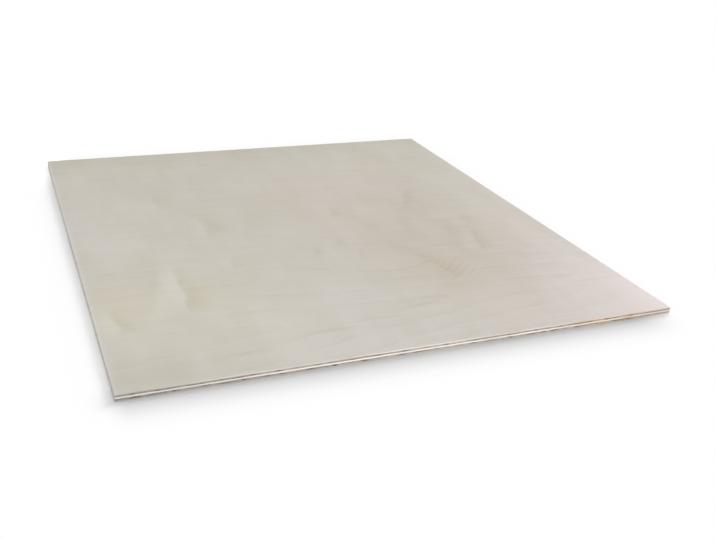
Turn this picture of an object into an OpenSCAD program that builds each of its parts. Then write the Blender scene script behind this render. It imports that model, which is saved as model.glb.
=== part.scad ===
// Five-ply birch plywood sheet, lying flat with its face veneer up.
// X runs along the grain of the face, Y across it towards the back, Z up.
// The origin is in the middle of the underside.

/* [Sheet] */
// Length of the sheet along the grain of its face, left to right
sheet_length = 500; // [100:1:3000]
// Width of the sheet across the grain of its face, front to back
sheet_width = 600; // [100:1:3000]

/* [Veneers] */
// Thickness of the face and back veneers after sanding
outer_ply = 1.15; // [0.6:0.05:3]
// Thickness of each inner veneer as it was peeled
inner_ply = 1.4; // [0.6:0.05:3]

/* [Edges] */
// Leg of the small bevel sanded along every arris of the face and the back
arris = 0.3; // [0.05:0.05:0.5]

/* [Hidden] */

// How far a cutting shape runs past the wood that it cuts
overrun = 1;

// Thickness of every veneer, counted from the underside up
lay_up = [outer_ply, inner_ply, inner_ply, inner_ply, outer_ply];

// The four sawn sides: direction that the side faces, its distance from the middle, its run
sides = [
    [0, sheet_length / 2, sheet_width],
    [90, sheet_width / 2, sheet_length],
    [180, sheet_length / 2, sheet_width],
    [270, sheet_width / 2, sheet_length]
];

// Wood colours: sanded long grain, long grain inside the sheet, and end grain on the sawn front
face_colour = "#cbc5ba";
core_colour = "#e4dad0";
crossband_colour = "#a3988c";
back_colour = "#b8ada2";

// Height of the glue line under a veneer: the sum of all the veneers below it
function glue_line(ply) = ply == 0 ? 0 : glue_line(ply - 1) + lay_up[ply - 1];

// A veneer sawn square on its four sides, with its lower face at zero
module sawn_veneer(thickness)
    linear_extrude(thickness)
        square([sheet_length, sheet_width], center = true);

// The corner of wood that sanding takes off along the top of one side.
// Its slope is at 45 degrees, and it meets the side and the top one arris leg from their edge.
module arris_cut(run)
    rotate([90, 0, 0])
        linear_extrude(run + 2 * overrun, center = true)
            polygon([
                [overrun, -arris - overrun],
                [overrun, overrun],
                [-arris - overrun, overrun]
            ]);

// A face veneer: sawn, with its four upper arrises eased
module eased_veneer(thickness)
    difference() {
        sawn_veneer(thickness);
        for (side = sides)
            rotate([0, 0, side[0]])
                translate([side[1], 0, thickness])
                    arris_cut(side[2]);
    }

// Upper face of the sheet, grain along X
module face_veneer()
    color(face_colour)
        translate([0, 0, glue_line(4)])
            eased_veneer(lay_up[4]);

// Crossband under the face, grain along Y
module upper_crossband()
    color(crossband_colour)
        translate([0, 0, glue_line(3)])
            sawn_veneer(lay_up[3]);

// Middle veneer, grain along X
module core_veneer()
    color(core_colour)
        translate([0, 0, glue_line(2)])
            sawn_veneer(lay_up[2]);

// Crossband over the back, grain along Y
module lower_crossband()
    color(crossband_colour)
        translate([0, 0, glue_line(1)])
            sawn_veneer(lay_up[1]);

// Underside of the sheet, grain along X: a face veneer turned over
module back_veneer()
    color(back_colour)
        translate([0, 0, lay_up[0]])
            mirror([0, 0, 1])
                eased_veneer(lay_up[0]);

face_veneer();
upper_crossband();
core_veneer();
lower_crossband();
back_veneer();
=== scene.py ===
"""Looks of a five-ply birch plywood sheet that lies face up on a white floor.

Every veneer is one closed surface worked out with numpy: the section of its sawn edge is carried round
the sheet's outline, and rings of the same outline close it above and below. The wood is drawn by shader
node groups that read the place on the sheet in millimetres, with the grain of the face along X.
"""

import math
from typing import NamedTuple

import bpy
import numpy as np
from mathutils import Matrix, Vector


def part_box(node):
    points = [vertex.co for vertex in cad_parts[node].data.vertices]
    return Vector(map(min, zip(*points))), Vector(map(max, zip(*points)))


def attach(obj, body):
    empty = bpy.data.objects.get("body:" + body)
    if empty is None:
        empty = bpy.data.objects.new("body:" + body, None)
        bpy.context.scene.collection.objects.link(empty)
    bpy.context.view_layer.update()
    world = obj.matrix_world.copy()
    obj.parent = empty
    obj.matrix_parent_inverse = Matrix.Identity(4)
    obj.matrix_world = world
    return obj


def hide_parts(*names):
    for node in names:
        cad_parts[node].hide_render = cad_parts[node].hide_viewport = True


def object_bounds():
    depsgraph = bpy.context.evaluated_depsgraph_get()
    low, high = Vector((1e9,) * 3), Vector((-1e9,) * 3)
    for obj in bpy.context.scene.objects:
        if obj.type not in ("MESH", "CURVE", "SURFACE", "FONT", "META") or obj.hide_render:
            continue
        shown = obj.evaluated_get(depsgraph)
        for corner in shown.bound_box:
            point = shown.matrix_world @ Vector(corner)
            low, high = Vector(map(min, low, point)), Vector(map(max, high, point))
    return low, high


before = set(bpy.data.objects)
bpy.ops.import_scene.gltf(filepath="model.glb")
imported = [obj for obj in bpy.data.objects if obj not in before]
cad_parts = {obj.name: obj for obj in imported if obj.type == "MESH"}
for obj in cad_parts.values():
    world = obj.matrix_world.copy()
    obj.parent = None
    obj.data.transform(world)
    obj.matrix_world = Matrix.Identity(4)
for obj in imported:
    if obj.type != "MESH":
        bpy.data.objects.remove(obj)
cad_low, cad_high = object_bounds()

MM = 0.001

# The sheet's sides in millimetres
LEFT_X = cad_low[0] / MM
RIGHT_X = cad_high[0] / MM
FRONT_Y = cad_low[1] / MM
BACK_Y = cad_high[1] / MM

# Veneers from the underside up, with the direction of their grain
GRAIN = {
    "back_veneer": "X",
    "lower_crossband": "Y",
    "core_veneer": "X",
    "upper_crossband": "Y",
    "face_veneer": "X",
}

# Radii on the sawn edges: an outer arris, an arris at a glue line and the upright corners
ARRIS = 0.3 * MM
GLUE_ARRIS = 0.05 * MM
CORNER = 0.6 * MM

# Spacing of points along the outline, and the points on a quarter round and on a straight rise
OUTLINE_STEP = 0.75 * MM
ROUND_ROWS = 4
RISE_ROWS = 6

# Angle between faces from which an edge is drawn sharp
CREASE = math.radians(35)

# Depth of what the saw leaves on end grain and on long grain
END_FUZZ = 0.018 * MM
END_PITS = 0.07 * MM
LONG_WAVES = 0.006 * MM
SPLINTERS = 0.12 * MM

# Blurs of the same, in rows of the section and points of the outline
FUZZ_BLUR = (0.7, 1.1)
PIT_BLUR = (1.3, 1.6)
WAVE_BLUR = (0.8, 14.0)
SPLIT_BLUR = (0.0, 2.2)

# Heights of a noise of spread one at which a pit and a splinter begin, and how far above that they end
PIT_START = 1.3
SPLIT_START = 1.2
DEEPEST = 1.5

# Share of a ply's thickness beside a glue line over which the saw's marks grow no weaker
GLUE_RIM_SHARE = 0.06

# Shares of a face's way to its middle at which a ring of points lies: a bare face, and a glued one
BARE_RING_SHARES = (0.006, 0.02, 0.08, 0.3, 0.65)
GLUED_RING_SHARES = (0.02,)

# The bake map, in shares of its side: its margin, where a bare face starts and how tall it is, the
# patch of a glued face, and for the four sawn edges the start, the height and the gap of their strips
MAP_MARGIN_SHARE = 0.01
BARE_FACE_SHARES = (0.17, 0.82)
GLUED_PATCH_SHARE = 0.03
OUTER_STRIP_SHARES = (0.055, 0.022, 0.006)
INNER_STRIP_SHARES = (0.06, 0.222, 0.01)


def sheet_outline(half_x, half_y):
    """The sheet's outline as a closed path, anticlockwise from above, from the front left corner.

    A side is a straight run, its distance from the middle times its outward direction plus the offset
    along it, and a quarter circle of radius CORNER leads into the next side. Returns the points, their
    outward directions, the distance along their side and the number of that side.
    """
    points, facing, run, side = [], [], [], []
    for number, turn in enumerate(np.radians((-90, 0, 90, 180))):
        out = np.array([np.cos(turn), np.sin(turn)])
        along = np.array([-out[1], out[0]])
        reach = np.abs(out) @ (half_x, half_y)
        half_run = np.abs(along) @ (half_x, half_y) - CORNER
        offset = np.linspace(-half_run, half_run, int(2 * half_run / OUTLINE_STEP), endpoint=False)
        bend = np.linspace(0, np.pi / 2, ROUND_ROWS, endpoint=False)
        bend_out = np.stack([np.cos(turn + bend), np.sin(turn + bend)], 1)
        bend_centre = out * (reach - CORNER) + along * half_run
        points += [out * reach + offset[:, None] * along, bend_centre + CORNER * bend_out]
        facing += [np.tile(out, (len(offset), 1)), bend_out]
        run += [offset + half_run, 2 * half_run + CORNER * bend]
        side += [np.full(len(offset) + len(bend), number)]
    return [np.concatenate(part) for part in (points, facing, run, side)]


def sawn_section(bottom, top, round_below, round_above):
    """Section of a sawn edge from the lower face to the upper one, as insets and heights.

    A quarter round, where the inset is the radius times one less the sine of the turn and the height
    above the face is the radius times one less its cosine, then a straight rise, then the same again
    upside down.
    """
    turn = np.linspace(0, np.pi / 2, ROUND_ROWS)
    rise = np.linspace(bottom + round_below, top - round_above, RISE_ROWS)[1:-1]
    inset = [round_below * (1 - np.sin(turn)), np.zeros(len(rise)), round_above * (1 - np.cos(turn))]
    height = [bottom + round_below * (1 - np.cos(turn)), rise, top - round_above * (1 - np.sin(turn))]
    return np.concatenate(inset), np.concatenate(height)


def smooth_noise(dice, rows, columns, row_blur, column_blur):
    """Random heights blurred by a Gaussian, whole round the outline, with a spread of one.

    The blur is a product with the Gaussian's own spectrum, so the last column leads into the first.
    """
    spectrum = np.fft.fft2(dice.standard_normal((rows, columns)))
    down = np.exp(-2 * (np.pi * row_blur * np.fft.fftfreq(rows)) ** 2)
    around = np.exp(-2 * (np.pi * column_blur * np.fft.fftfreq(columns)) ** 2)
    field = np.fft.ifft2(spectrum * down[:, None] * around).real
    return field / field.std()


def saw_relief(dice, end_grain, share, arris_share):
    """How far the saw has taken the edge back, for every row of the section and point of the outline.

    End grain is fuzzy and has small pits, where a blurred noise passes a threshold. Long grain only has
    long shallow waves. Along an outer arris the end grain has splintered in short stretches.
    """
    rows, columns = len(share), len(end_grain)
    fuzz = np.abs(smooth_noise(dice, rows, columns, *FUZZ_BLUR))
    pits = np.clip(smooth_noise(dice, rows, columns, *PIT_BLUR) - PIT_START, 0, DEEPEST)
    waves = np.abs(smooth_noise(dice, rows, columns, *WAVE_BLUR))
    splits = np.clip(smooth_noise(dice, 1, columns, *SPLIT_BLUR) - SPLIT_START, 0, DEEPEST)
    off_glue = np.sqrt(np.sin(np.pi * np.clip(share, GLUE_RIM_SHARE, 1 - GLUE_RIM_SHARE)))
    weight = np.maximum(off_glue, arris_share)[:, None]
    ragged = END_FUZZ * fuzz + END_PITS * pits + SPLINTERS * splits * arris_share[:, None] ** 2
    return end_grain * ragged * weight + (1 - end_grain) * LONG_WAVES * waves


def ring_faces(rows, columns):
    """Quads between neighbouring rows, and a fan of triangles round the middle point of each face."""
    row = np.arange(rows - 1)[:, None] * columns
    column = np.broadcast_to(np.arange(columns), (rows - 1, columns))
    after = (column + 1) % columns
    quads = np.stack([row + column, row + after, row + columns + after, row + columns + column], 2)
    lower_middle, upper_middle = rows * columns, rows * columns + 1
    last = (rows - 1) * columns
    fan_below = np.stack([np.full(columns, lower_middle), after[0], column[0]], 1)
    fan_above = np.stack([np.full(columns, upper_middle), last + column[0], last + after[0]], 1)
    return quads, fan_below, fan_above


class Veneer:
    """A veneer with its sawn edges.

    Row by row the outline is moved in by the section's inset and the saw's relief, or drawn towards the
    middle by a ring's share, from the middle of the lower face round the edge to the middle of the upper
    face. A single point closes each middle.
    """

    def __init__(self, node, seed):
        low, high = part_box(node)
        self.bottom, self.top = low[2], high[2]
        self.half = np.array([high[0], high[1]])
        self.bare_above = node == "face_veneer"
        self.bare_below = node == "back_veneer"
        self.points, self.facing, self.run, self.side = sheet_outline(*self.half)
        self.inset, self.height = sawn_section(
            self.bottom,
            self.top,
            ARRIS if self.bare_below else GLUE_ARRIS,
            ARRIS if self.bare_above else GLUE_ARRIS,
        )
        self.below = np.array(BARE_RING_SHARES if self.bare_below else GLUED_RING_SHARES)[::-1]
        self.above = np.array(BARE_RING_SHARES if self.bare_above else GLUED_RING_SHARES)
        self.across = self.facing[:, 0] ** 2
        self.end_grain = self.across if GRAIN[node] == "X" else 1 - self.across
        self.vertices = self.place_vertices(np.random.default_rng(seed))
        self.rows = len(self.below) + len(self.height) + len(self.above)
        self.quads, self.fan_below, self.fan_above = ring_faces(self.rows, len(self.points))

    def place_vertices(self, dice):
        """The rows of points from the lower face to the upper one, then the two middles."""
        share = (self.height - self.bottom) / (self.top - self.bottom)
        arris_share = share * self.bare_above + (1 - share) * self.bare_below
        relief = saw_relief(dice, self.end_grain, share, arris_share)
        edge = self.points - self.facing * (self.inset[:, None] + relief)[:, :, None]
        lower = edge[0] * (1 - self.below[:, None, None])
        upper = edge[-1] * (1 - self.above[:, None, None])
        flat = np.concatenate([lower, edge, upper])
        level = self.by_row(self.bottom, self.height, self.top)
        solid = np.concatenate([flat, np.broadcast_to(level[:, None, None], (*flat.shape[:2], 1))], 2)
        return np.concatenate([solid.reshape(-1, 3), [(0, 0, self.bottom), (0, 0, self.top)]])

    def by_row(self, below, edge, above):
        """One number for every row: the same over each face, and the section's own on the edge."""
        return np.concatenate([np.full(len(self.below), below), edge, np.full(len(self.above), above)])

    def bake_map(self):
        """Where every corner of a face lies on the bake map.

        The faces lie flat, Y along the map and X up it, the bare one large and a glued one in a small
        patch. Each sawn edge is a strip: the run goes along the map, and the section's rows go up it.
        """
        outer = self.bare_above or self.bare_below
        start, tall, gap = OUTER_STRIP_SHARES if outer else INNER_STRIP_SHARES
        wide = 1 - 2 * MAP_MARGIN_SHARE
        plan = (self.vertices[:, :2] / self.half)[:, ::-1] / 2 + 0.5
        bare = plan * (wide, BARE_FACE_SHARES[1]) + (MAP_MARGIN_SHARE, BARE_FACE_SHARES[0])
        patch = plan * GLUED_PATCH_SHARE + MAP_MARGIN_SHARE
        next_patch = patch + (2 * GLUED_PATCH_SHARE, 0)
        lower_map = bare if self.bare_below else patch
        upper_map = bare if self.bare_above else next_patch

        step = np.linalg.norm(np.roll(self.points, -1, 0) - self.points, axis=1)
        run = np.stack([self.run, self.run + step, self.run + step, self.run], 1)
        rise = np.linspace(0, tall, len(self.height))
        lift = np.stack([rise[:-1], rise[:-1], rise[1:], rise[1:]], 1)
        strip = start + self.side * (tall + gap)
        along = MAP_MARGIN_SHARE + run * wide / (2 * self.half.max())

        corners = np.empty((*self.quads.shape, 2))
        first, last = len(self.below), len(self.below) + len(lift)
        corners[:first] = lower_map[self.quads[:first]]
        corners[first:last, :, :, 0] = along
        corners[first:last, :, :, 1] = strip[:, None] + lift[:, None, :]
        corners[last:] = upper_map[self.quads[last:]]
        fans = [lower_map[self.fan_below], upper_map[self.fan_above]]
        return np.concatenate([part.reshape(-1, 2) for part in (corners, *fans)])

    def edge_facts(self):
        """For every point: on a sawn edge or not, how far it faces along X, and nearness of a glue line."""
        never = np.full(len(self.height), np.inf)
        over = never if self.bare_below else self.height - self.bottom
        under = never if self.bare_above else self.top - self.height
        glue = np.clip(1 - np.minimum(over, under) / (2 * GLUE_ARRIS), 0, 1)
        sawn = self.by_row(0, 1 - self.inset / ARRIS, 0)
        facts = np.stack(
            np.broadcast_arrays(sawn[:, None], self.across, self.by_row(0, glue, 0)[:, None]), 2
        )
        return np.concatenate([facts.reshape(-1, 3), np.zeros((2, 3))])

    def mesh(self, name):
        """The veneer as a mesh with its bake map and its edge facts."""
        mesh = bpy.data.meshes.new(name)
        faces = [*self.quads.reshape(-1, 4).tolist(), *self.fan_below.tolist(), *self.fan_above.tolist()]
        mesh.from_pydata(self.vertices.tolist(), [], faces)
        mesh.polygons.foreach_set("use_smooth", np.ones(len(faces), bool))
        mesh.set_sharp_from_angle(angle=CREASE)
        bake = mesh.uv_layers.new(name="OFBake")
        bake.uv.foreach_set("vector", self.bake_map().astype(np.float32).ravel())
        sawn = mesh.attributes.new("sawn", "FLOAT_VECTOR", "POINT")
        sawn.data.foreach_set("vector", self.edge_facts().astype(np.float32).ravel())
        return mesh


# The veneers that are laid, for the lamp that lights them alone
SHEET = bpy.data.collections.new("sheet")


def lay_veneer(node, seed, material):
    """Puts a veneer's wood in place of its plain solid."""
    mesh = Veneer(node, seed).mesh(node + "_wood")
    mesh.materials.append(material)
    piece = bpy.data.objects.new(node + "_wood", mesh)
    bpy.context.scene.collection.objects.link(piece)
    SHEET.objects.link(piece)
    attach(piece, "root")
    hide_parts(node)


class Spots(NamedTuple):
    """A noise: the lengths of its spots along X, Y and Z in millimetres, its own shift and its detail."""

    x: float
    y: float
    z: float
    shift: float = 0.0
    detail: float = 2.0


# Numbers of a mix node's sockets for colours: the share, the two colours and the result
MIX_SHARE = 0
MIX_FROM = 6
MIX_TO = 7
MIX_RESULT = 2


class Recipe:
    """A node tree written as sums: every call adds a node and gives back its result."""

    def __init__(self, tree):
        self.tree = tree
        tree.nodes.clear()

    def feed(self, socket, value):
        """Links a result to the socket, or sets the socket to a plain value."""
        if isinstance(value, bpy.types.NodeSocket):
            self.tree.links.new(value, socket)
        else:
            socket.default_value = value

    def node(self, kind, inputs, **settings):
        """Adds a node of this kind with its settings, and sets or links its inputs."""
        node = self.tree.nodes.new(kind)
        for name, value in settings.items():
            setattr(node, name, value)
        for key, value in inputs.items():
            self.feed(node.inputs[key], value)
        return node

    def math(self, operation, *values):
        """One sum with numbers."""
        return self.node("ShaderNodeMath", dict(enumerate(values)), operation=operation).outputs[0]

    def vector_math(self, operation, *values):
        """One sum with vectors, each number by itself."""
        return self.node("ShaderNodeVectorMath", dict(enumerate(values)), operation=operation).outputs[0]

    def times(self, first, *others):
        """The product of all the values."""
        for other in others:
            first = self.math("MULTIPLY", first, other)
        return first

    def plus(self, first, *others):
        """The sum of all the values."""
        for other in others:
            first = self.math("ADD", first, other)
        return first

    def minus(self, value, other):
        """The difference of two values."""
        return self.math("SUBTRACT", value, other)

    def without_sign(self, value):
        """A value without its sign."""
        return self.math("ABSOLUTE", value)

    def apart(self, vector):
        """The three numbers of a vector."""
        return tuple(self.node("ShaderNodeSeparateXYZ", {0: vector}).outputs)

    def together(self, *numbers):
        """A vector of three numbers."""
        return self.node("ShaderNodeCombineXYZ", dict(enumerate(numbers))).outputs[0]

    def between(self, value, low, high):
        """A soft step from 0 at low to 1 at high."""
        inputs = {"Value": value, "From Min": low, "From Max": high}
        return self.node("ShaderNodeMapRange", inputs, interpolation_type="SMOOTHSTEP").outputs[0]

    def steps(self, value, ends):
        """The product of soft steps, each from 0 at its first end to 1 at its second."""
        return self.times(*(self.between(value, low, high) for low, high in ends))

    def bell(self, *offsets):
        """The bell curve of offsets measured in its reach: e to the minus of the sum of their squares."""
        squares = self.plus(*(self.times(offset, offset) for offset in offsets))
        return self.math("EXPONENT", self.times(squares, -1.0))

    def noise(self, place, spots):
        """Noise about zero with spots of these lengths."""
        rates = (1 / spots.x, 1 / spots.y, 1 / spots.z)
        spread = self.vector_math("MULTIPLY_ADD", place, rates, (spots.shift, spots.shift, spots.shift))
        inputs = {"Vector": spread, "Scale": 1.0, "Detail": spots.detail}
        return self.minus(self.node("ShaderNodeTexNoise", inputs).outputs[0], 0.5)

    def blend(self, share, from_colour, to_colour):
        """A colour on the way from one to another."""
        inputs = {MIX_SHARE: share, MIX_FROM: from_colour, MIX_TO: to_colour}
        return self.node("ShaderNodeMix", inputs, data_type="RGBA").outputs[MIX_RESULT]

    def shaded(self, colour, amount):
        """A colour made lighter or darker by an amount about zero."""
        inputs = {0: colour, "Scale": self.plus(amount, 1.0)}
        return self.node("ShaderNodeVectorMath", inputs, operation="SCALE").outputs[0]

    def millimetres(self):
        """The place on the piece in millimetres."""
        coordinates = self.node("ShaderNodeTexCoord", {}).outputs["Object"]
        return self.vector_math("MULTIPLY", coordinates, (1 / MM, 1 / MM, 1 / MM))

    def use(self, group, **inputs):
        """Places a group with these inputs and returns its outputs."""
        node = self.node("ShaderNodeGroup", {}, node_tree=group)
        for name, value in inputs.items():
            self.feed(node.inputs[name.replace("_", " ").title()], value)
        return tuple(node.outputs)


VECTOR = "NodeSocketVector"
NUMBER = "NodeSocketFloat"


def effect(name, rule, inputs, outputs):
    """A node group made by a rule, with the kinds of its named inputs, and numbers as its outputs."""
    tree = bpy.data.node_groups.new(name, "ShaderNodeTree")
    for label, kind in inputs.items():
        tree.interface.new_socket(label, in_out="INPUT", socket_type=kind)
    for label in outputs:
        tree.interface.new_socket(label, in_out="OUTPUT", socket_type=NUMBER)
    recipe = Recipe(tree)
    start = tree.nodes.new("NodeGroupInput")
    end = tree.nodes.new("NodeGroupOutput")
    results = rule(recipe, *(start.outputs[label] for label in inputs))
    for label, result in zip(outputs, results, strict=True):
        recipe.feed(end.inputs[label], result)
    return tree


# Fibres: their noises, the steps at which a dash shows and dashes crowd, and the weight of the hairs
FIBRE_LINES = Spots(55, 1.6, 40, shift=3.1, detail=3.0)
FIBRE_HAIRS = Spots(14, 0.3, 20, shift=7.7)
VESSEL_DASHES = Spots(3.4, 0.17, 8, shift=1.3, detail=1.0)
VESSEL_CROWDS = Spots(60, 25, 30, shift=5.9)
DASH_STEP = (0.13, 0.24)
CROWD_STEP = (-0.15, 0.15)
HAIR_WEIGHT = 0.8


def fibre_rule(recipe, place):
    """Fine fibre lines and the short dashes of cut vessels, both long in X and thin in Y."""
    lines = recipe.noise(place, FIBRE_LINES)
    hairs = recipe.noise(place, FIBRE_HAIRS)
    dashes = recipe.between(recipe.noise(place, VESSEL_DASHES), *DASH_STEP)
    crowded = recipe.between(recipe.noise(place, VESSEL_CROWDS), *CROWD_STEP)
    return recipe.plus(lines, recipe.times(hairs, HAIR_WEIGHT)), recipe.times(dashes, crowded)


# Growth rings: a ring's width across the axis and its length along it, and the rounding at the axis
RING_WIDTH = 26
RING_LENGTH = 160
RING_ROUNDING = 5

# How rings wander: the noises, how many rings they move near the axis and how many more far from it, and
# the distances from the axis over which that grows
RING_WANDER = Spots(210, 80, 50, detail=1.5)
RING_RIPPLE = Spots(45, 16, 50, shift=4.0)
NEAR_WANDER = 0.5
FAR_WANDER = 3.5
RIPPLE_WANDER = 0.35
FAR_STEP = (20.0, 120.0)

# Where late wood shows: the noise and the step at which it does, the distances from the axis within which
# it shows anyway and how strongly, and the power by which a line darkens
RING_CLEARNESS = Spots(70, 18, 50, shift=9.0)
CLEAR_STEP = (-0.1, 0.16)
NEAR_STEP = (50.0, 5.0)
NEAR_STRENGTH = 0.35
LATE_WOOD_POWER = 7.0


def ring_rule(recipe, place, tip, shift):
    """Late-wood lines of the growth rings as a peeled veneer shows them.

    The ring number grows with the distance from an axis along the grain, rounded off at the axis, and
    with the way along it, so the lines are nested points that open to the left. Noise lets them wander,
    more so far from the axis. Each line darkens slowly up to a whole number and stops there. The tip
    gives a point of the axis and its lean.
    """
    x, y, _ = recipe.apart(place)
    tip_x, tip_y, lean = recipe.apart(tip)
    ahead = recipe.minus(x, tip_x)
    off_axis = recipe.minus(recipe.minus(y, tip_y), recipe.times(ahead, lean))
    away = recipe.without_sign(off_axis)
    root = recipe.math("SQRT", recipe.math("MULTIPLY_ADD", off_axis, off_axis, RING_ROUNDING**2))
    rounded = recipe.minus(root, RING_ROUNDING)
    elsewhere = recipe.vector_math("ADD", place, shift)
    wander = recipe.math("MULTIPLY_ADD", recipe.between(away, *FAR_STEP), FAR_WANDER, NEAR_WANDER)
    number = recipe.plus(
        recipe.times(rounded, 1 / RING_WIDTH),
        recipe.times(ahead, 1 / RING_LENGTH),
        recipe.times(recipe.noise(elsewhere, RING_WANDER), wander),
        recipe.times(recipe.noise(elsewhere, RING_RIPPLE), RIPPLE_WANDER),
    )
    way = recipe.math("FRACT", number)
    clear = recipe.between(recipe.noise(elsewhere, RING_CLEARNESS), *CLEAR_STEP)
    near = recipe.times(recipe.between(away, *NEAR_STEP), NEAR_STRENGTH)
    strength = recipe.math("MAXIMUM", clear, near)
    return recipe.times(recipe.math("POWER", way, LATE_WOOD_POWER), strength), recipe.minus(way, 0.5)


# Curls: the noise of their line, how far it moves the line in millimetres and the ends in lengths, how
# much narrower the back end is, the step at the ends in lengths, and the steps where each side starts, in
# millimetres, and ends, in widths
CURL_WAVES = Spots(30, 26, 50, shift=6.3)
CURL_LINE_WAVES = 14.0
CURL_END_WAVES = 0.5
CURL_NARROWING = 0.4
CURL_END_STEP = (1.0, 0.5)
LIGHT_START_STEP = (1.5, -3.0)
LIGHT_END_STEP = (-1.1, -0.6)
DARK_START_STEP = (-2.0, 3.0)
DARK_END_STEP = (1.2, 0.2)


def curl_rule(recipe, place, middle, size):
    """One curl in the grain: fibres that rise on the left and dip on the right of a wavy line across it.

    The way across is the distance from the line over the width of that side, and the way along is that
    from the middle over the curl's length. Both sides are level near the line, fade at their widths and
    ends, and narrow towards the back. The middle gives its place and the lean of the line, and the size
    gives the widths of the light and the dark side and the length.
    """
    x, y, _ = recipe.apart(place)
    middle_x, middle_y, lean = recipe.apart(middle)
    light_width, dark_width, length = recipe.apart(size)
    along = recipe.minus(y, middle_y)
    wavy = recipe.noise(place, CURL_WAVES)
    straight = recipe.minus(recipe.minus(x, middle_x), recipe.times(along, lean))
    sideways = recipe.plus(straight, recipe.times(wavy, CURL_LINE_WAVES))
    way = recipe.math("DIVIDE", along, length)
    end = recipe.without_sign(recipe.plus(way, recipe.times(wavy, CURL_END_WAVES)))
    inside = recipe.between(end, *CURL_END_STEP)
    narrow = recipe.math("MULTIPLY_ADD", way, -CURL_NARROWING, 1.0)
    left = recipe.math("DIVIDE", sideways, recipe.times(light_width, narrow))
    right = recipe.math("DIVIDE", sideways, recipe.times(dark_width, narrow))
    lit = recipe.times(recipe.between(left, *LIGHT_END_STEP), recipe.between(sideways, *LIGHT_START_STEP))
    dim = recipe.times(recipe.between(sideways, *DARK_START_STEP), recipe.between(right, *DARK_END_STEP))
    return recipe.times(lit, inside), recipe.times(dim, inside)


def patch_rule(recipe, place, middle, reach):
    """A soft patch: the bell curve of the distance from its middle, measured in its reach along X and Y."""
    off = recipe.vector_math("DIVIDE", recipe.vector_math("SUBTRACT", place, middle), reach)
    x, y, _ = recipe.apart(off)
    return (recipe.bell(x, y),)


# Ripples: the noise that bends their lines, and how far in millimetres
RIPPLE_BENDS = Spots(34, 30, 50, shift=12.0)
RIPPLE_BEND = 14.0


def ripple_rule(recipe, place, middle, size):
    """Fine ripples across the grain beside a curl: a wave of slanting lines inside a soft patch.

    The wave's phase is the way along X plus the lean times the way along Y. The middle gives the place
    and the lean, and the size gives the patch's reach along X and Y and the wave's length.
    """
    x, y, _ = recipe.apart(recipe.vector_math("SUBTRACT", place, middle))
    _, _, lean = recipe.apart(middle)
    reach_x, reach_y, wavelength = recipe.apart(size)
    bend = recipe.times(recipe.noise(place, RIPPLE_BENDS), RIPPLE_BEND)
    phase = recipe.math("DIVIDE", recipe.plus(x, recipe.times(y, lean), bend), wavelength)
    wave = recipe.math("SINE", recipe.times(phase, 2 * math.pi))
    mask = recipe.bell(recipe.math("DIVIDE", x, reach_x), recipe.math("DIVIDE", y, reach_y))
    return (recipe.times(wave, mask),)


# Sawn edges: noises by the run and the height, and the steps at which each mark shows
EDGE_STREAKS = Spots(26, 0.25, 1, shift=2.0)
EDGE_PATCHES = Spots(9, 1.6, 1, shift=5.0, detail=3.0)
EDGE_VESSELS = Spots(0.22, 0.22, 1, shift=8.0, detail=1.0)
EDGE_TEARS = Spots(9, 2.4, 1, shift=17.0)
EDGE_GRIT = Spots(0.9, 0.3, 1, shift=29.0, detail=3.0)
EDGE_DRIFT = Spots(95, 5, 1, shift=21.0)
CRACK_BENDS = Spots(6, 2.5, 1, shift=11.0)
CRACK_PLACES = Spots(14, 1.3, 1, shift=13.0)
EDGE_VESSEL_STEP = (0.12, 0.24)
TEAR_STEP = (0.02, 0.14)
GRIT_STEP = (-0.1, 0.12)
CRACK_PLACE_STEP = (0.02, 0.15)

# Cracks: their slant, their spacing and bend in millimetres, and half the width of one as a share of the
# spacing
CRACK_SLANT = 0.8
CRACK_SPACING = 1.9
CRACK_BEND = 3.0
CRACK_WIDTH_SHARE = 0.05

# Weights of the marks in the level of a sawn edge's tone, in its dark and in its relief
PATCH_WEIGHT = 1.4
DRIFT_WEIGHT = 0.5
GRIT_WEIGHT = 0.65
VESSEL_DARK = 0.3
CRACK_DARK = 0.6
GLUE_DARK = 0.35
LEVEL_RELIEF = 0.6


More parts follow.
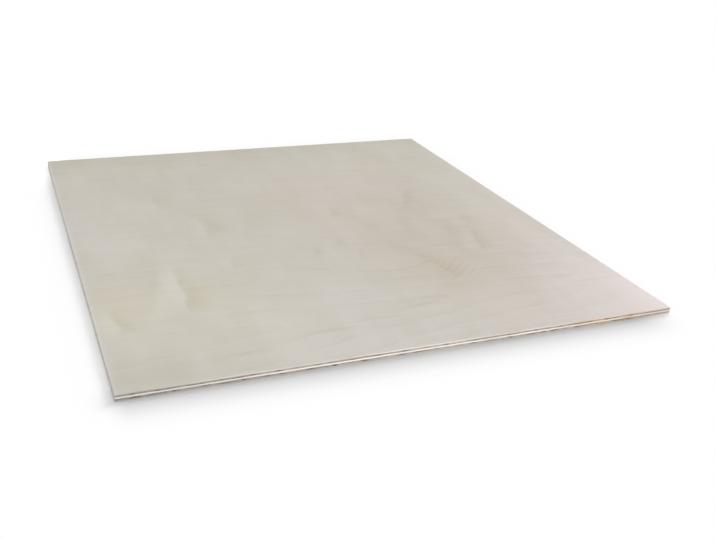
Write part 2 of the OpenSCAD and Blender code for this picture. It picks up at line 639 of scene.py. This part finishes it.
def sawn_rule(recipe, place, end_grain, glue, tearing):
    """A sawn edge, by the run along it and the height.

    Long grain has thin streaks. End grain has patches, cut vessels, short torn stretches that are rough
    and dark, and the slanting cracks that peeling opens in a veneer. Both drift along the run, and a glue
    line is a little darker.
    """
    x, y, z = recipe.apart(place)
    run = recipe.plus(x, y)
    spot = recipe.together(run, z, 0.0)
    streaks = recipe.noise(spot, EDGE_STREAKS)
    patches = recipe.noise(spot, EDGE_PATCHES)
    vessels = recipe.between(recipe.noise(spot, EDGE_VESSELS), *EDGE_VESSEL_STEP)
    grit = recipe.between(recipe.noise(spot, EDGE_GRIT), *GRIT_STEP)
    rough = recipe.math("MULTIPLY_ADD", grit, GRIT_WEIGHT, 1 - GRIT_WEIGHT)
    torn = recipe.times(recipe.between(recipe.noise(spot, EDGE_TEARS), *TEAR_STEP), tearing, rough)
    bend = recipe.times(recipe.noise(spot, CRACK_BENDS), CRACK_BEND)
    slant = recipe.plus(run, recipe.times(z, CRACK_SLANT), bend)
    off_crack = recipe.math("PINGPONG", recipe.times(slant, 1 / CRACK_SPACING), 0.5)
    cracked = recipe.between(recipe.noise(spot, CRACK_PLACES), *CRACK_PLACE_STEP)
    cracks = recipe.times(recipe.between(off_crack, CRACK_WIDTH_SHARE, 0.0), cracked)
    long_grain = recipe.minus(1.0, end_grain)
    level = recipe.plus(
        recipe.times(long_grain, streaks),
        recipe.times(end_grain, patches, PATCH_WEIGHT),
        recipe.times(recipe.noise(spot, EDGE_DRIFT), DRIFT_WEIGHT),
    )
    marks = recipe.plus(torn, recipe.times(vessels, VESSEL_DARK), recipe.times(cracks, CRACK_DARK))
    dark = recipe.plus(recipe.times(end_grain, marks), recipe.times(glue, GLUE_DARK))
    hollows = recipe.times(end_grain, recipe.plus(vessels, cracks))
    return level, dark, recipe.minus(recipe.times(level, LEVEL_RELIEF), hollows)


FIBRES = effect("wood_fibres", fibre_rule, {"Place": VECTOR}, ("Fibre", "Vessels"))
RINGS = effect(
    "growth_rings",
    ring_rule,
    {"Place": VECTOR, "Tip": VECTOR, "Shift": VECTOR},
    ("Late Wood", "Growth"),
)
CURL = effect(
    "grain_curl",
    curl_rule,
    {"Place": VECTOR, "Middle": VECTOR, "Size": VECTOR},
    ("Light", "Dark"),
)
PATCH = effect(
    "soft_patch",
    patch_rule,
    {"Place": VECTOR, "Middle": VECTOR, "Reach": VECTOR},
    ("Mask",),
)
RIPPLE = effect(
    "grain_ripple",
    ripple_rule,
    {"Place": VECTOR, "Middle": VECTOR, "Size": VECTOR},
    ("Wave",),
)
SAWN_EDGE = effect(
    "sawn_edge",
    sawn_rule,
    {"Place": VECTOR, "End Grain": NUMBER, "Glue": NUMBER, "Tearing": NUMBER},
    ("Tone", "Dark", "Relief"),
)


def tone(red, green, blue):
    """A colour written in screen values from 0 to 255, as the linear numbers that a shader takes."""
    screen = np.array([red, green, blue]) / 255
    linear = np.where(screen <= 0.04045, screen / 12.92, ((screen + 0.055) / 1.055) ** 2.4)
    return (*linear.tolist(), 1.0)


class Figure(NamedTuple):
    """What a sanded face shows: its colours, the tip of its rings, its noise's shift, and its marks."""

    dark: tuple
    light: tuple
    tip: tuple
    shift: tuple
    curls: tuple
    patches: tuple
    ripple: tuple
    tints: tuple


class SawnEdge(NamedTuple):
    """A veneer's sawn edges: colours of long grain and end grain, how torn it is, and soft tints."""

    long_grain: tuple
    end_grain: tuple
    tearing: float
    tints: tuple


# A tint of one sawn edge alone has its middle this far outside it, and this reach from there
EDGE_AHEAD = 1
EDGE_REACH = 5

# A reach far past the sheet's own length or width
ALL_ALONG = 900


def front_tint(x, reach, tint):
    """A tint of the front edge alone: its middle and reach along X, and how it changes the colour."""
    return (x, FRONT_Y - EDGE_AHEAD, reach, EDGE_REACH, tint)


def front_shade(x, reach, factor):
    """A stretch of the front edge that is only darker or only paler."""
    return front_tint(x, reach, (factor, factor, factor))


# Tints of the face and the back: middle and reach in X and Y, and how the tint changes the colour. The
# tint on the right front is partly the wood's tone and partly a painted sheen, and the last of the face is
# the pale, cool rim along the left edge, a painted highlight on the left arris.
FACE_TINTS_AND_PAINTED_LIGHT = (
    (-180, -175, 105, 125, (1.0, 0.99, 0.935)),
    (150, 70, 45, 65, (0.98, 0.98, 0.995)),
    (105, -80, 60, 50, (0.98, 0.995, 1.01)),
    (-156, -146, 16, 32, (1.0, 1.0, 0.955)),
    (0, BACK_Y, 400, 60, (0.985, 1.0, 1.0)),
    (70, 60, 160, 230, (1.0, 0.985, 0.992)),
    (85, -145, 45, 40, (1.0, 0.985, 0.95)),
    # partly the wood's tone, partly a painted sheen: the right front pinker
    (240, -230, 130, 140, (0.99, 0.96, 1.0)),
    (-228, -160, 30, 50, (1.0, 1.0, 0.955)),
    # painted highlight: the left arris paler and cooler
    (LEFT_X, 0, 3, ALL_ALONG, (1.0, 1.02, 1.07)),
)
BACK_TINTS = (
    (120, 60, 110, 140, (1.0, 0.99, 0.95)),
    (-160, -190, 90, 80, (1.0, 0.97, 1.0)),
)

# Tints of the sawn edges of every ply: the pale, cool left edge, which is painted light from the left, the
# dull left end of the front edge, the stained right front corner, three amber spots, and a paler and a
# darker stretch
EDGE_TINTS_AND_PAINTED_LIGHT = (
    # painted light: the left edge paler and cooler
    (LEFT_X - EDGE_AHEAD, 0, EDGE_REACH, ALL_ALONG, (1.02, 1.05, 1.1)),
    front_tint(LEFT_X, 110, (0.76, 0.77, 0.78)),
    (RIGHT_X - 10, FRONT_Y, 70, 60, (0.86, 0.81, 0.765)),
    front_tint(155, 8, (0.96, 0.86, 0.76)),
    front_tint(173, 11, (1.0, 0.93, 0.78)),
    front_tint(203, 9, (0.96, 0.86, 0.76)),
    front_shade(30, 32, 1.12),
    front_shade(140, 18, 0.92),
)

# The same with stretches of single plies: the upper crossband, the lower one with its small gap, whose dark
# is painted shade, and the back veneer with its pale right end
UPPER_TINTS = EDGE_TINTS_AND_PAINTED_LIGHT + (
    front_shade(213, 22, 1.17),
    front_shade(-153, 9, 0.82),
    front_shade(-55, 22, 0.88),
    front_shade(10, 12, 1.18),
    front_shade(147, 12, 0.8),
    front_shade(178, 6, 1.15),
)
LOWER_TINTS = EDGE_TINTS_AND_PAINTED_LIGHT + (
    front_shade(200, 22, 1.12),
    front_shade(-245, 8, 0.72),
    front_shade(-44, 6, 0.82),
    front_shade(-5, 5, 0.8),
    # painted shade: the dark inside a small gap of the lower crossband
    front_tint(-80.5, 1.8, (0.24, 0.22, 0.21)),
)
BACK_EDGE_TINTS = EDGE_TINTS_AND_PAINTED_LIGHT + (front_shade(RIGHT_X, 25, 1.5),)

# Curls: their line's middle in X and Y and its lean, the widths of the light and the dark side, the
# length, and how strong the light and the dark are
FACE_CURLS = (
    (-169, -134, 0.06, 24, 18, 58, 1.4, 0.6),
    (-232, -182, -0.1, 14, 14, 28, 0.9, 0.8),
    (-116, 20, -0.05, 13, 27, 34, 0.65, 0.65),
    (131, 56, 0.45, 24, 14, 34, 0.3, 0.7),
    (30, 30, 0.1, 14, 16, 20, 0.3, 0.7),
    (154, -92, 0.25, 14, 20, 36, 0.5, 0.8),
    (78, -135, -0.3, 16, 18, 34, 0.3, 0.45),
    (8, -55, 0.2, 12, 10, 14, 0.3, 0.5),
    (16, -100, 0.1, 12, 12, 14, 0.2, 0.5),
    (-24, -75, 0.2, 14, 10, 16, 0.3, 0.5),
    (-110, -85, 0.1, 14, 12, 18, 0.3, 0.5),
    (-150, 110, 0.0, 10, 14, 30, 0.4, 0.4),
    (165, -30, 0.1, 12, 24, 26, 0.5, 0.4),
)
BACK_CURLS = (
    (-140, 160, 0.1, 26, 18, 56, 0.8, 0.8),
    (60, 90, -0.2, 18, 14, 40, 0.6, 0.7),
    (150, -60, 0.2, 20, 22, 46, 0.8, 0.8),
    (-40, -170, 0.0, 16, 14, 30, 0.5, 0.6),
)

# Patches of paler and of darker wood, from broad ones to small spots, and short streaks of late wood, with
# painted light among them: the broad paler patch on the front left is painted light, the darker strip along
# the back edge is painted shade, and the pale rim along the left edge is a painted highlight on the left
# arris. Each has its middle and reach in X and Y, and how much paler it is.
FACE_PATCHES_AND_PAINTED_LIGHT = (
    # painted light: the front left paler
    (-90, -215, 190, 150, 0.18),
    (115, -75, 80, 140, -0.16),
    # painted shade: darker along the back edge
    (0, BACK_Y + 20, ALL_ALONG, 55, -0.18),
    (60, -165, 100, 60, -0.12),
    (-235, -205, 30, 50, 0.1),
    (-215, -285, 45, 22, -0.1),
    (-215, 50, 45, 110, 0.13),
    (60, 105, 45, 40, 0.05),
    (175, 200, 40, 45, -0.06),
    (-75, -285, 75, 22, 0.08),
    (-170, -40, 80, 80, 0.04),
    (-158, -148, 9, 24, -0.1),
    (84, -157, 5, 9, -0.12),
    (90, -170, 5, 9, -0.08),
    (-140, -269, 22, 3.0, -0.1),
    (-62, -250, 20, 2.6, -0.2),
    (-15, -241, 20, 2.4, -0.12),
    (35, -226, 14, 2.4, -0.12),
    (150, -231, 40, 2.4, -0.1),
    (215, -222, 25, 2.6, -0.1),
    # painted highlight: a pale rim on the left arris
    (LEFT_X, 0, 2.5, ALL_ALONG, 0.18),
)
BACK_PATCHES = (
    (120, 140, 160, 120, 0.14),
    (-90, -120, 140, 110, -0.12),
)

# The two sanded faces. The tip is a point of the rings' axis in X and Y and its lean. The ripple has its
# middle in X and Y, its lean, its reach in X and Y and the wave's length.
FACE = Figure(
    dark=tone(174, 165, 143),
    light=tone(213, 210, 206),
    tip=(55, -217, 0.074),
    shift=(0, 0, 0),
    curls=FACE_CURLS,
    patches=FACE_PATCHES_AND_PAINTED_LIGHT,
    ripple=(101, -158, -1.1, 22, 26, 12),
    tints=FACE_TINTS_AND_PAINTED_LIGHT,
)
BACK = Figure(
    dark=tone(172, 160, 138),
    light=tone(220, 211, 198),
    tip=(-40, 60, -0.05),
    shift=(940, 610, 35),
    curls=BACK_CURLS,
    patches=BACK_PATCHES,
    ripple=(-60, 140, 0.8, 24, 28, 13),
    tints=BACK_TINTS,
)

# How far each mark moves a face from its middle tone towards its light colour. Late wood is clearer round
# the tip of the rings, within this reach.
MIDDLE_TONE = 0.5
FIBRE_LIGHT = 0.22
CLOUD_LIGHT = 0.3
GROWTH_LIGHT = -0.03
LATE_WOOD_LIGHT = -0.05
CLEAR_LATE_WOOD_LIGHT = -0.13
CLEAR_REACH = (230, 115, 1)
VESSEL_LIGHT = -0.12
RIPPLE_LIGHT = 0.06
RAISED_CURL_LIGHT = 0.11
DIPPED_CURL_LIGHT = -0.18
CLOUDS = Spots(26, 75, 50, shift=2.4)

# Relief of a sanded face, and the height in metres that a relief of one stands for
FIBRE_RELIEF = 0.5
VESSEL_RELIEF = 0.8
RELIEF_HEIGHT = 0.03 * MM

# How torn the end grain is: of the crossbands, and of the plies whose grain runs along X
CROSSBAND_TEARING = 0.95
LONG_PLY_TEARING = 0.4

# The brown of torn end grain and of glue, and the gloss of bare wood
TORN_BROWN = tone(92, 74, 56)
SANDED_ROUGHNESS = 0.7
OUTER_EDGE_ROUGHNESS = 0.82
LONG_GRAIN_ROUGHNESS = 0.75
END_GRAIN_ROUGHNESS = 0.85
SPECULAR_LEVEL = 0.2


class Wood(Recipe):
    """A birch material: its place in millimetres and its edge facts, and the shader at the end."""

    def __init__(self, name, grain):
        self.material = bpy.data.materials.new(name)
        self.material.use_nodes = True
        super().__init__(self.material.node_tree)
        self.place = self.millimetres()
        facts = self.node("ShaderNodeAttribute", {}, attribute_name="sawn").outputs["Vector"]
        self.on_edge, across, self.glue = self.apart(facts)
        self.end_grain = across if grain == "X" else self.minus(1.0, across)

    def patch(self, x, y, reach_x, reach_y):
        """The mask of one soft patch."""
        (mask,) = self.use(PATCH, place=self.place, middle=(x, y, 0), reach=(reach_x, reach_y, 1))
        return mask

    def mixed(self, share, first, second):
        """A number on the way from one value to another."""
        return self.math("MULTIPLY_ADD", share, second - first, first)

    def tinted(self, colour, tints):
        """A colour with soft patches of other tints on it."""
        for *patch, tint in tints:
            colour = self.blend(self.patch(*patch), colour, self.vector_math("MULTIPLY", colour, tint))
        return colour

    def sanded_face(self, figure):
        """Colour and relief of a sanded face: fibres, vessels, growth rings, curls, ripples and patches, some
        of them painted light and shade.
        """
        elsewhere = self.vector_math("ADD", self.place, figure.shift)
        fibre, vessels = self.use(FIBRES, place=elsewhere)
        late_wood, growth = self.use(RINGS, place=self.place, tip=figure.tip, shift=figure.shift)
        tip_x, tip_y, _ = figure.tip
        (clear,) = self.use(PATCH, place=self.place, middle=(tip_x, tip_y, 0), reach=CLEAR_REACH)
        late_wood_light = self.math("MULTIPLY_ADD", clear, CLEAR_LATE_WOOD_LIGHT, LATE_WOOD_LIGHT)
        (wave,) = self.use(RIPPLE, place=self.place, middle=figure.ripple[:3], size=figure.ripple[3:])
        level = self.plus(
            MIDDLE_TONE,
            self.times(fibre, FIBRE_LIGHT),
            self.times(self.noise(elsewhere, CLOUDS), CLOUD_LIGHT),
            self.times(growth, GROWTH_LIGHT),
            self.times(late_wood, late_wood_light),
            self.times(vessels, VESSEL_LIGHT),
            self.times(wave, RIPPLE_LIGHT),
        )
        for x, y, lean, light_width, dark_width, length, lit, dim in figure.curls:
            size = (light_width, dark_width, length)
            raised, dipped = self.use(CURL, place=self.place, middle=(x, y, lean), size=size)
            raised_light = self.times(raised, RAISED_CURL_LIGHT * lit)
            level = self.plus(level, raised_light, self.times(dipped, DIPPED_CURL_LIGHT * dim))
        for *patch, paler in figure.patches:
            level = self.plus(level, self.times(self.patch(*patch), paler))
        relief = self.minus(self.times(fibre, FIBRE_RELIEF), self.times(vessels, VESSEL_RELIEF))
        return self.tinted(self.blend(level, figure.dark, figure.light), figure.tints), relief

    def sawn_edge(self, edge):
        """Colour and relief of a sawn edge, from its long grain to its end grain."""
        level, dark, relief = self.use(
            SAWN_EDGE, place=self.place, end_grain=self.end_grain, glue=self.glue, tearing=edge.tearing
        )
        plain = self.blend(self.end_grain, edge.long_grain, edge.end_grain)
        toned = self.tinted(self.shaded(plain, level), edge.tints)
        return self.blend(dark, toned, TORN_BROWN), relief

    def finish(self, colour, relief, roughness):
        """Ends the material: bare wood with a low gloss and a relief of hundredths of a millimetre."""
        bump = self.node("ShaderNodeBump", {"Height": relief, "Distance": RELIEF_HEIGHT, "Strength": 1.0})
        wood = self.node(
            "ShaderNodeBsdfPrincipled",
            {
                "Base Color": colour,
                "Roughness": roughness,
                "Specular IOR Level": SPECULAR_LEVEL,
                "Normal": bump.outputs[0],
            },
        )
        self.node("ShaderNodeOutputMaterial", {"Surface": wood.outputs[0]})
        return self.material


def outer_wood(name, grain, figure, edge):
    """Birch of an outer veneer: one sanded face and four sawn edges."""
    wood = Wood(name, grain)
    face_colour, face_relief = wood.sanded_face(figure)
    edge_colour, edge_relief = wood.sawn_edge(edge)
    colour = wood.blend(wood.on_edge, face_colour, edge_colour)
    off_edge = wood.minus(1.0, wood.on_edge)
    relief = wood.plus(wood.times(face_relief, off_edge), wood.times(edge_relief, wood.on_edge))
    roughness = wood.mixed(wood.on_edge, SANDED_ROUGHNESS, OUTER_EDGE_ROUGHNESS)
    return wood.finish(colour, relief, roughness)


def inner_wood(name, grain, edge):
    """Birch of an inner veneer, of which only sawn edges show."""
    wood = Wood(name, grain)
    colour, relief = wood.sawn_edge(edge)
    roughness = wood.mixed(wood.end_grain, LONG_GRAIN_ROUGHNESS, END_GRAIN_ROUGHNESS)
    return wood.finish(colour, relief, roughness)


face_wood = outer_wood(
    "birch_face_sanded",
    GRAIN["face_veneer"],
    FACE,
    SawnEdge(tone(212, 205, 197), tone(190, 183, 174), LONG_PLY_TEARING, EDGE_TINTS_AND_PAINTED_LIGHT),
)
# The back veneer's sawn edges are darker than the face's: partly its own colour, partly painted shade along
# the bottom of the sheet by the floor
back_wood = outer_wood(
    "birch_back_sanded",
    GRAIN["back_veneer"],
    BACK,
    SawnEdge(tone(186, 179, 170), tone(182, 175, 166), LONG_PLY_TEARING, BACK_EDGE_TINTS),
)
upper_wood = inner_wood(
    "birch_upper_crossband_sawn",
    GRAIN["upper_crossband"],
    SawnEdge(tone(218, 211, 201), tone(168, 159, 150), CROSSBAND_TEARING, UPPER_TINTS),
)
lower_wood = inner_wood(
    "birch_lower_crossband_sawn",
    GRAIN["lower_crossband"],
    SawnEdge(tone(212, 205, 195), tone(169, 162, 156), CROSSBAND_TEARING, LOWER_TINTS),
)
core_wood = inner_wood(
    "birch_core_sawn",
    GRAIN["core_veneer"],
    SawnEdge(tone(235, 229, 221), tone(192, 185, 176), LONG_PLY_TEARING, EDGE_TINTS_AND_PAINTED_LIGHT),
)

lay_veneer("back_veneer", seed=11, material=back_wood)
lay_veneer("lower_crossband", seed=12, material=lower_wood)
lay_veneer("core_veneer", seed=13, material=core_wood)
lay_veneer("upper_crossband", seed=14, material=upper_wood)
lay_veneer("face_veneer", seed=15, material=face_wood)


# Floor: half its side in metres, and its colour for light that bounces
FLOOR_HALF = 12.0
FLOOR_BOUNCE = 0.75

# The shade that the floor shows in front of the sheet: its depth, its reach, and its steps along X at the
# left corner, slowly from left to right, and at the right corner, in millimetres
FRONT_SHADE = 0.305
SHADE_REACH = 23.3
SHADE_STEPS = ((LEFT_X - 10, LEFT_X + 11), (-1700, 200), (RIGHT_X + 6, RIGHT_X - 44))

# How much paler the floor is along the left side, its reach, and its steps along Y at the front corner and
# slowly from back to front, and how much more so in a patch by the back corner, with its reach
LEFT_GLOW = 0.17
GLOW_REACH = 12.0
GLOW_STEPS = ((FRONT_Y - 6, FRONT_Y + 30), (BACK_Y + 100, FRONT_Y))
CORNER_GLOW = 0.5
CORNER_GLOW_REACH = (16, 65, 1)


def seen_directly(recipe):
    """1 for what the camera sees, also in a mirror or through glass, and 0 for light on its way."""
    path = recipe.node("ShaderNodeLightPath", {}).outputs
    mirrored = recipe.math("MAXIMUM", path["Is Glossy Ray"], path["Is Transmission Ray"])
    return recipe.math("MAXIMUM", path["Is Camera Ray"], mirrored)


def floor_white(recipe):
    """How white the floor looks: 1, less its shade in front of the sheet, and more on the sheet's left.

    The shade is a bell curve of the distance from the front edge. The paler strip is one of the distance
    from the left edge, with a soft patch by the back corner. Both show from above alone.
    """
    place = recipe.millimetres()
    x, y, _ = recipe.apart(place)
    before = recipe.times(recipe.minus(y, FRONT_Y), 1 / SHADE_REACH)
    shade = recipe.times(recipe.bell(before), recipe.steps(x, SHADE_STEPS), FRONT_SHADE)
    beside = recipe.times(recipe.minus(x, LEFT_X), 1 / GLOW_REACH)
    glow = recipe.times(recipe.bell(beside), recipe.steps(y, GLOW_STEPS), LEFT_GLOW)
    back_left = (LEFT_X, BACK_Y, 0.0)
    (corner,) = recipe.use(PATCH, place=place, middle=back_left, reach=CORNER_GLOW_REACH)
    change = recipe.minus(recipe.plus(glow, recipe.times(corner, CORNER_GLOW)), shade)
    from_below = recipe.node("ShaderNodeNewGeometry", {}).outputs["Backfacing"]
    return recipe.plus(1.0, recipe.times(change, recipe.minus(1.0, from_below)))


def lay_floor():
    """A white floor that keeps the sheet's shadow, and sends back less light than it shows."""
    corners = np.array([(-1, -1, 0), (1, -1, 0), (1, 1, 0), (-1, 1, 0)]) * FLOOR_HALF
    mesh = bpy.data.meshes.new("floor")
    mesh.from_pydata(corners.tolist(), [], [(0, 1, 2, 3)])
    material = bpy.data.materials.new("white_floor")
    material.use_nodes = True
    recipe = Recipe(material.node_tree)
    seen = seen_directly(recipe)
    bounced = recipe.times(recipe.minus(1.0, seen), FLOOR_BOUNCE)
    level = recipe.plus(recipe.times(seen, floor_white(recipe)), bounced)
    matt = recipe.node("ShaderNodeBsdfDiffuse", {"Color": recipe.together(level, level, level)})
    recipe.node("ShaderNodeOutputMaterial", {"Surface": matt.outputs[0]})
    mesh.materials.append(material)
    floor = bpy.data.objects.new("floor", mesh)
    bpy.context.scene.collection.objects.link(floor)


class Sun(NamedTuple):
    """A wide sun: its name, direction, strength and colour, and whether gloss mirrors it."""

    name: str
    direction: tuple
    strength: float
    colour: tuple
    mirrored: bool


# Light: the even dome, and the lamps. A direction is the bearing from +Y to the right and the elevation,
# in degrees.
DOME_STRENGTH = 0.597
WHITE = (1.0, 1.0, 1.0)
SUNS = (
    Sun("back_sun", (55, 27), 1.55, WHITE, True),
    Sun("front_sun", (172, 16), 1.65, WHITE, False),
    Sun("left_sun", (265, 12), 0.5, (0.95, 1.0, 1.08), False),
)
SUN_SPREAD = math.radians(40)
SUN_DISTANCE = 3.0
CORNER_LAMP = (127, 10.3)
CORNER_LAMP_DISTANCE = 0.505
CORNER_LAMP_RADIUS = 0.07
CORNER_LAMP_WATTS = 1.2
CORNER_LAMP_COLOUR = (1.0, 0.95, 1.2)


def place_lamp(name, kind, direction, distance, mirrored, **settings):
    """A lamp in this direction from the sheet's middle, turned towards it."""
    around, up = (math.radians(angle) for angle in direction)
    toward = Vector((math.sin(around) * math.cos(up), math.cos(around) * math.cos(up), math.sin(up)))
    light = bpy.data.lights.new(name, kind)
    for key, value in settings.items():
        setattr(light, key, value)
    lamp = bpy.data.objects.new(name, light)
    lamp.location = toward * distance
    lamp.rotation_euler = toward.to_track_quat("Z", "Y").to_euler()
    lamp.visible_camera = False
    lamp.visible_glossy = mirrored
    bpy.context.scene.collection.objects.link(lamp)
    return lamp


def light_stage():
    """White surroundings that light softly, wide suns, and a small lamp for the sheet's right front alone."""
    world = bpy.data.worlds.new("white_surroundings")
    bpy.context.scene.world = world
    world.use_nodes = True
    recipe = Recipe(world.node_tree)
    seen = seen_directly(recipe)
    strength = recipe.math("MULTIPLY_ADD", seen, 1 - DOME_STRENGTH, DOME_STRENGTH)
    dome = recipe.node("ShaderNodeBackground", {"Color": (*WHITE, 1.0), "Strength": strength})
    recipe.node("ShaderNodeOutputWorld", {"Surface": dome.outputs[0]})
    for sun in SUNS:
        place_lamp(
            sun.name,
            "SUN",
            sun.direction,
            SUN_DISTANCE,
            sun.mirrored,
            energy=sun.strength,
            angle=SUN_SPREAD,
            color=sun.colour,
        )
    corner_lamp = place_lamp(
        "corner_lamp",
        "POINT",
        CORNER_LAMP,
        CORNER_LAMP_DISTANCE,
        False,
        energy=CORNER_LAMP_WATTS,
        shadow_soft_size=CORNER_LAMP_RADIUS,
        color=CORNER_LAMP_COLOUR,
    )
    corner_lamp.light_linking.receiver_collection = SHEET


# Camera as the photograph was taken: its place in millimetres, its heading, dip and roll, the focal
# length and the lens's axis in pixels of a picture this wide, and the sensor's width in millimetres
PICTURE_WIDTH_PX = 716
CAMERA_PLACE_MM = (-309.6, -920.4, 367.2)
CAMERA_HEADING = math.radians(25.06)
CAMERA_DIP = math.radians(22.98)
CAMERA_ROLL = math.radians(3.38)
FOCAL_PX = 941.2
LENS_AXIS_PX = 410.1
SENSOR_WIDTH = 36.0


def place_camera():
    """The camera at the photograph's place, turned by its heading, dip and roll."""
    lens = bpy.data.cameras.new("camera")
    lens.sensor_fit = "HORIZONTAL"
    lens.sensor_width = SENSOR_WIDTH
    lens.lens = FOCAL_PX / PICTURE_WIDTH_PX * SENSOR_WIDTH
    lens.shift_x = 0.5 - LENS_AXIS_PX / PICTURE_WIDTH_PX
    camera = bpy.data.objects.new("camera", lens)
    camera.matrix_world = (
        Matrix.Translation(Vector(CAMERA_PLACE_MM) * MM)
        @ Matrix.Rotation(-CAMERA_HEADING, 4, "Z")
        @ Matrix.Rotation(math.pi / 2 - CAMERA_DIP, 4, "X")
        @ Matrix.Rotation(CAMERA_ROLL, 4, "Z")
    )
    bpy.context.scene.collection.objects.link(camera)
    bpy.context.scene.camera = camera


lay_floor()
light_stage()
place_camera()
bpy.context.scene.view_settings.view_transform = "Standard"
